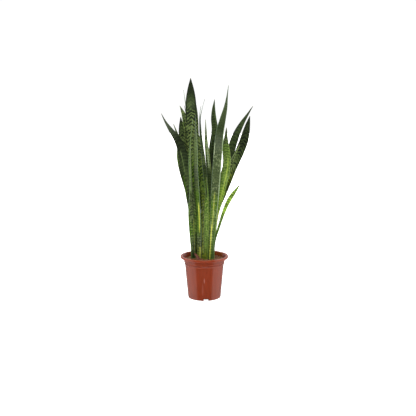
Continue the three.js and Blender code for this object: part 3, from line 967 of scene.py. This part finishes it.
GROWTHS = {
    "leaf_01": Growth((
        Tint(1000, GREY, 0.3), Tint(880, MID, 0.4, 0.3), Tint(640, MID), Tint(570, OLD, 0.4, 0.3),
        Tint(470, OLD, 0.7, 0.2), Tint(380, MOSS, 0.5, 0.3), Tint(310, OLD, 0.4, 0.4), Tint(240, DEEP, 0.3),
    ), (
        Stripe(HAZE, 0.15, 0.16, 600, 850, 60), Stripe(BLOOM, 0.1, 0.6, 610, 860),
        Stripe(MOSS, -1.0, 0.4, 200, 540), Stripe(CITRON, 1.0, 0.2, 200, 450),
    )),
    "leaf_02": Growth((
        Tint(980, SLATE, 0.0), Tint(880, NIGHT, 0.3), Tint(760, DEEP), Tint(660, OLD, 0.5, 0.2),
        Tint(560, OLD, 0.5), Tint(400, MID, 0.5), Tint(280, DEEP, 0.3),
    ), (Stripe(GREY, -0.35, 0.1, 700, 830), Stripe(MOSS, -1.0, 0.3, 560, 690))),
    "leaf_03": Growth((
        Tint(960, SLATE, 0.1), Tint(890, SLATE, 0.2), Tint(800, OLD, 0.5), Tint(640, DEEP, 0.5),
        Tint(500, DEEP, 0.5),
    ), (Stripe(MID, -1.0, 0.3, 740, 830),)),
    # The NIGHT stripe along the left edge is painted shade, and the thin pale one along the right edge a
    # painted highlight.
    "leaf_04": Growth((
        Tint(1010, NIGHT), Tint(950, DEEP, 0.8), Tint(880, OLD, 1.0, 0.2), Tint(600, DEEP, 0.6),
    ), (Stripe(NIGHT, -1.0, 0.3, 850, 1010), Stripe(BLOOM, 1.0, 0.14, 850, 1000))),
    # The NIGHT stripes along both edges near the tip are painted shade.
    "leaf_05": Growth((
        Tint(1150, NIGHT, 0.1), Tint(1120, DEEP, 0.2), Tint(1080, OLD, 0.3), Tint(1030, OLD, 1.0),
        Tint(940, OLD, 1.0, 0.4), Tint(860, OLD, 0.8, 0.8), Tint(700, MOSS, 0.8, 0.3), Tint(450, OLD, 0.6),
        Tint(240, OLIVE),
    ), (Stripe(NIGHT, -1.0, 0.22, 990, 1200), Stripe(NIGHT, 1.0, 0.3, 1010, 1200))),
    "leaf_06": Growth((
        Tint(1000, NIGHT, 0.3), Tint(940, SLATE, 0.2), Tint(870, GREY, 0.2), Tint(790, GREY, 0.2),
        Tint(720, SLATE, 0.3), Tint(640, OLD), Tint(580, MOSS, 0.25, 0.1), Tint(400, MOSS, 0.3),
        Tint(320, OLD, 0.5, 0.4), Tint(240, OLIVE),
    ), (Stripe(YELLOW, 0.5, 0.18, 380, 540, 70, 0.85), Stripe(CITRON, 0.7, 0.3, 220, 290))),
    # The DEEP stripe along the left edge is painted shade.
    "leaf_07": Growth((
        Tint(1060, OLD, 0.6), Tint(850, GREY, 0.8, 0.5), Tint(700, MID, 0.8, 0.6), Tint(640, MID, 0.6, 0.5),
        Tint(520, OLIVE, 0.5), Tint(240, OLIVE, 0.5),
    ), (Stripe(DEEP, -1.0, 0.25, 500, 850), Stripe(BLOOM, -0.1, 0.15, 250, 560, 40, 0.75))),
    "leaf_08": Growth((
        Tint(1070, SLATE, 0.3), Tint(1030, OLD, 0.5, 0.3), Tint(900, DEEP, 0.6, 0.4),
    ), (Stripe(MID, -1.0, 0.2, 960, 1070),)),
    "leaf_09": Growth((Tint(1070, DEEP, 0.0), Tint(800, DEEP))),
    "leaf_10": Growth((Tint(1140, BLOOM, 0.0), Tint(1050, SLATE), Tint(600, OLD))),
    "leaf_11": Growth((
        Tint(1080, SLATE, 0.0), Tint(980, NIGHT, 0.1), Tint(900, DEEP, 0.3), Tint(780, OLD, 0.5),
        Tint(700, DEEP), Tint(620, MOSS, 0.5), Tint(540, MID), Tint(460, FRESH), Tint(240, FRESH),
    )),
    "leaf_12": Growth((Tint(1050, DEEP, 0.0), Tint(800, DEEP, 0.2), Tint(600, DEEP))),
    # The DEEP stripe along the left edge is painted shade.
    "leaf_13": Growth((
        Tint(980, SLATE, 0.3), Tint(860, GREY, 0.5, 0.1), Tint(740, OLD, 0.5), Tint(690, DEEP),
        Tint(400, MOSS, 0.3),
    ), (Stripe(DEEP, -1.0, 0.4, 500, 760), Stripe(BLOOM, 0.3, 0.25, 740, 880))),
    "leaf_14": Growth((
        Tint(680, NIGHT, 0.2), Tint(600, DEEP, 0.2), Tint(550, MOSS, 0.3, 0.5), Tint(480, MID, 0.3, 0.3),
        Tint(300, MID, 0.3, 0.1), Tint(240, OLIVE, 0.3),
    ), (Stripe(MOSS, 0.9, 0.3, 240, 640), Stripe(MOSS, -1.0, 0.2, 240, 640))),
    "leaf_15": Growth((Tint(960, SLATE, 0.1), Tint(900, DEEP, 0.3), Tint(300, NIGHT))),
    # The thin pale lines along both edges are painted highlights.
    "leaf_16": Growth((
        Tint(1150, SLATE, 0.0), Tint(1030, OLD, 0.1), Tint(960, DEEP, 0.15), Tint(870, SLATE, 0.15, 0.1),
        Tint(780, OLD, 0.2, 0.3), Tint(700, OLD, 0.2, 0.2), Tint(630, OLD, 0.3, 0.3),
        Tint(540, MOSS, 0.3, 0.3), Tint(470, MID, 0.4, 0.3), Tint(400, GREY, 0.5, 0.2), Tint(240, MID),
    ), (
        Stripe(CITRON, -0.1, 0.14, 400, 600, 90, 0.8), Stripe(YELLOW, -0.3, 0.2, 225, 420, 60, 0.9),
        Stripe(HAZE, -0.9, 0.1, 800, 880, 30, 0.7), Stripe(BLOOM, 0.95, 0.14, 440, 960),
        Stripe(MOSS, 0.7, 0.3, 240, 500),
    )),
    "leaf_17": Growth((
        Tint(950, NIGHT, 0.3), Tint(900, OLD), Tint(840, MID), Tint(760, MID, 0.35, 0.3),
        Tint(660, MID, 0.35, 0.3), Tint(590, FRESH, 0.4, 0.1), Tint(520, FRESH, 0.3), Tint(460, CITRON, 0.2),
        Tint(380, YELLOW, 0.2), Tint(320, MID, 0.3),
    ), (Stripe(LIME, 0.35, 0.14, 540, 790, 90), Stripe(MID, -0.8, 0.35, 620, 860))),
    "leaf_18": Growth((
        Tint(1060, DEEP, 0.1), Tint(960, DEEP, 0.3), Tint(880, DEEP), Tint(780, OLD), Tint(700, OLD),
        Tint(500, DEEP),
    )),
    "leaf_19": Growth((
        Tint(1000, NIGHT, 0.3), Tint(860, NIGHT, 0.8), Tint(800, DEEP, 1.0), Tint(740, OLD, 0.9),
        Tint(660, OLIVE, 0.8), Tint(500, OLIVE, 0.7),
    ), (Stripe(DEEP, 0.65, 0.3, 500, 820, 120, 0.6),)),
    # The thin pale stripe along the left edge is a painted highlight.
    "leaf_20": Growth((
        Tint(900, DEEP), Tint(840, OLD, 0.6), Tint(740, OLD, 0.6, 0.3), Tint(640, MID, 0.5),
        Tint(400, LIME, 0.3),
    ), (Stripe(BLOOM, -1.0, 0.2, 760, 870),)),
    "leaf_21": Growth((
        Tint(650, MID, 0.2), Tint(600, FRESH, 0.6, 0.4), Tint(520, FRESH, 0.6, 0.4), Tint(440, MID),
        Tint(370, MOSS, 0.3), Tint(280, MID, 0.1),
    )),
    "leaf_22": Growth((
        Tint(1090, DEEP, 0.1), Tint(960, DEEP, 0.5), Tint(860, DEEP, 0.5), Tint(760, NIGHT),
        Tint(400, NIGHT),
    ), (Stripe(OLD, 0.9, 0.45, 860, 1040),)),
    "leaf_23": Growth((Tint(900, DEEP, 0.6), Tint(600, OLD, 0.9, 0.3), Tint(240, OLIVE))),
    "leaf_24": Growth((Tint(900, NIGHT, 0.3), Tint(500, DEEP, 0.5), Tint(240, MOSS))),
    "leaf_25": Growth((Tint(800, GREY, 0.3), Tint(500, GREY, 0.5), Tint(240, MOSS))),
    "leaf_26": Growth((Tint(700, DEEP, 0.5), Tint(450, OLIVE, 0.8), Tint(240, CITRON))),
    "leaf_27": Growth((Tint(500, MOSS, 0.3), Tint(300, OLIVE, 0.5), Tint(240, FRESH))),
}


@dataclass
class Blade:
    """A fine blade that follows the rings of its solid."""

    node: str
    sides: int = 32
    ring_step: float = 0.006
    tip_ease: float = 0.88

    def build(self) -> Piece:
        """Build the blade ring by ring."""
        spine = Spine(self.node)
        rings = max(12, round(spine.length / self.ring_step))
        bm = bmesh.new()
        self.prepare(bm, spine)
        bmesh.ops.create_cone(bm, cap_ends=True, segments=self.sides, radius1=1, radius2=1, depth=1)
        rising = [e for e in bm.edges if abs(e.verts[0].co.z - e.verts[1].co.z) > 0.5]
        bmesh.ops.subdivide_edges(bm, edges=rising, cuts=rings - 1, use_grid_fill=True)
        levels: dict[int, Ring] = {}
        for vert in bm.verts:
            levels.setdefault(round((vert.co.z + 0.5) * rings), []).append(vert)
        for level, ring in levels.items():
            distance = spine.length * (level / rings) ** self.tip_ease
            here = spine.at(distance)
            self.mark(ring, here, distance)
            for vert in ring:
                across, ahead, _ = vert.co
                vert.co = here.middle + here.side * across + here.depth * ahead + here.hollow * across**2
        return make_piece(f"{self.node}_blade", bm, 60.0)

    def prepare(self, bm: Mesh, spine: Spine) -> None:
        """Get ready to mark the rings. A plain blade has no marks."""

    def mark(self, ring: Ring, here: Station, distance: float) -> None:
        """Mark one ring, whose vertices still lie on the unit circle. A plain blade has no marks."""


@dataclass
class Leaf(Blade):
    """A living blade, with the attributes that its finish reads."""

    growth: Growth = Growth((Tint(0, MID),))
    seed: float = 0.0

    def prepare(self, bm: Mesh, spine: Spine) -> None:
        """Add the attributes, and find which edge of the leaf is on the viewer's right.

        Args:
            bm: the blade's mesh.
            spine: the leaf's spine.
        """
        self.layers = [bm.verts.layers.float_vector.new(name) for name in LEAF_MARKS]
        self.length = spine.length
        widest = max(spine.stations, key=lambda station: station.side.length)
        self.turned = math.copysign(1.0, widest.side.x)

    def mark(self, ring: Ring, here: Station, distance: float) -> None:
        """Write the attributes of one ring.

        Args:
            ring: its vertices, which still lie on the unit circle.
            here: its station.
            distance: how far it is along the leaf.
        """
        height_mm = here.middle.z / MM
        green, bands, flecks = self.growth.at(height_mm)
        half = here.side.length
        for vert in ring:
            across = vert.co.x
            colour, amount = self.growth.stripe(across * self.turned, height_mm)
            blade = (across * half, distance, self.length - distance)
            values = (blade, (self.seed, half, 0.0), green, (bands, flecks, amount), colour)
            for layer, value in zip(self.layers, values):
                vert[layer] = value


@dataclass
class Foliage:
    """All leaves of the plant, each dressed by its slot in the record."""

    seed: int = 5

    def build(self) -> list[Piece]:
        """Build and dress every leaf."""
        draw = random.Random(self.seed)
        materials = {kind.name.lower(): kind.value.make() for kind in LeafFinish}
        pieces = []
        for part in frame["record"]["subparts"]:
            node, slot = part["node"], part["material_slot"]
            if slot not in materials:
                continue
            piece = Leaf(node, growth=GROWTHS[node], seed=draw.uniform(0, 50)).build()
            dress(piece, materials[slot], slot, node)
            pieces.append(piece)
        return pieces


# --- dry sheath and rhizomes


@dataclass
class Dead:
    """The dry sheath on the mix and the rhizomes inside it."""

    sheath: DryTissue = DryTissue("dry_sheath", "8a5440", "4a2619", fibre_mm=2.0)
    rhizome: DryTissue = DryTissue("rhizome_skin", "c98a4b", "8a5428", fibre_mm=3.0)

    def build(self) -> list[Piece]:
        """Build the sheath from its solid, and dress the rhizomes where they lie."""
        pieces = []
        sheath, skin = self.sheath.make(), self.rhizome.make()
        for part in frame["record"]["subparts"]:
            node, slot = part["node"], part["material_slot"]
            if slot == "sheath":
                piece = Blade(node, ring_step=0.003).build()
                dress(piece, sheath, slot, node)
                pieces.append(piece)
            if slot == "rhizome":
                node_object = frame["nodes"][node]
                node_object.data.materials.clear()
                node_object.data.materials.append(skin)
                pieces.append(node_object)
        return pieces


# --- studio


@dataclass
class Studio:
    """A plain pale floor, soft studio light and the camera at the height of the leaves."""

    image_px: float = 416.0
    focal_px: float = 616.0
    pot_axis_px: float = 204.3
    distance: float = 3.4
    height: float = 1.03
    tilt_degrees: float = 8.7
    sensor_mm: float = 36.0
    floor_size: float = 60.0
    dark_front_degrees: float = 54.0
    dim_front: float = 0.06
    bright_side: float = 1.15
    dim_back: float = 0.6
    overhead: float = 1.5
    zenith: float = 4.0
    backdrop: float = 1.05
    aim: Three = (0.0, 0.0, 0.6)
    finish: WhiteAcrylic = WhiteAcrylic()

    def camera(self) -> None:
        """Place the camera."""
        data = bpy.data.cameras.new("camera")
        data.sensor_width = self.sensor_mm
        data.lens = self.sensor_mm * self.focal_px / self.image_px
        camera = bpy.data.objects.new("camera", data)
        aside = (self.image_px / 2 - self.pot_axis_px) / self.focal_px * self.distance
        camera.location = (aside, -self.distance, self.height)
        camera.rotation_euler = (math.radians(90 - self.tilt_degrees), 0, 0)
        bpy.context.scene.collection.objects.link(camera)
        bpy.context.scene.camera = camera

    def floor(self) -> None:
        """Lay the floor."""
        bm = bmesh.new()
        bmesh.ops.create_grid(bm, x_segments=1, y_segments=1, size=self.floor_size / 2)
        piece = make_piece("floor", bm)
        piece.data.materials.append(self.finish.make())
        piece.visible_glossy = False

    def world(self) -> None:
        """Light the studio: bright at the sides and overhead, softer behind, dim behind the camera."""
        world = bpy.data.worlds.new("studio")
        bpy.context.scene.world = world
        world.use_nodes = True
        tree = world.node_tree
        tree.nodes.clear()
        way = add(tree, "TexCoord")["Generated"]
        right, back, up = add(tree, "SeparateXYZ", {0: way})
        flat = add(tree, "CombineXYZ", {0: right, 1: back})[0]
        level = add(tree, "VectorMath", {0: flat}, operation="NORMALIZE")[0]
        facing = add(tree, "SeparateXYZ", {0: level})[1]
        edge = -math.cos(math.radians(self.dark_front_degrees))
        side = add(tree, "MapRange", {
            0: facing, 1: edge - 0.02, 2: edge + 0.02, 3: self.dim_front, 4: self.bright_side,
        })[0]
        behind = add(tree, "MapRange", {0: facing, 1: 0.2, 2: 0.6})[0]
        round_about = add(tree, "Mix", {"Factor": behind, 2: side, 3: self.dim_back})[0]
        above = add(tree, "MapRange", {0: up, 1: 0.55, 2: 0.7}, **SOFT)[0]
        ceiling = add(tree, "MapRange", {0: up, 1: 0.86, 2: 0.9, 3: self.overhead, 4: self.zenith})[0]
        bright = add(tree, "Mix", {"Factor": above, 2: round_about, 3: ceiling})[0]
        lit = add(tree, "Background", {"Color": (1, 1, 1, 1), "Strength": bright})[0]
        seen = add(tree, "Background", {"Color": (1, 1, 1, 1), "Strength": self.backdrop})[0]
        rays = add(tree, "LightPath")["Is Camera Ray"]
        both = add(tree, "MixShader", {0: rays, 1: lit, 2: seen})[0]
        add(tree, "OutputWorld", {"Surface": both})

    def lamp(self, name: str, place: Vector, size: float, power: float) -> None:
        """Hang a soft square lamp that looks at the middle of the plant.

        Args:
            name: the lamp's name.
            place: where it hangs.
            size: length of its sides.
            power: its power in watts.
        """
        data = bpy.data.lights.new(name, "AREA")
        data.shape = "SQUARE"
        data.size = size
        data.energy = power
        lamp = bpy.data.objects.new(name, data)
        lamp.location = place
        lamp.rotation_euler = (Vector(self.aim) - place).to_track_quat("-Z", "Y").to_euler()
        bpy.context.scene.collection.objects.link(lamp)

    def build(self) -> None:
        """Set up the whole studio."""
        self.camera()
        self.floor()
        self.world()
        self.lamp("front_fill", Vector((0.1, -3.0, 2.7)), size=2.2, power=38.0)
        self.lamp("top_fill", Vector((0.3, 0.2, 3.4)), size=2.0, power=15.0)
        bpy.context.scene.view_settings.view_transform = "Standard"


# --- assembly


def main() -> None:
    """Build the studio and every piece of the plant."""
    logging.basicConfig(level=logging.INFO, format="%(message)s")
    Studio().build()
    pieces = [Pot().build(), *Mix().build(), *Foliage().build(), *Dead().build()]
    for piece in pieces:
        log.info("%s: %d faces", piece.name, len(piece.data.polygons))


if __name__ == "__main__":
    main()
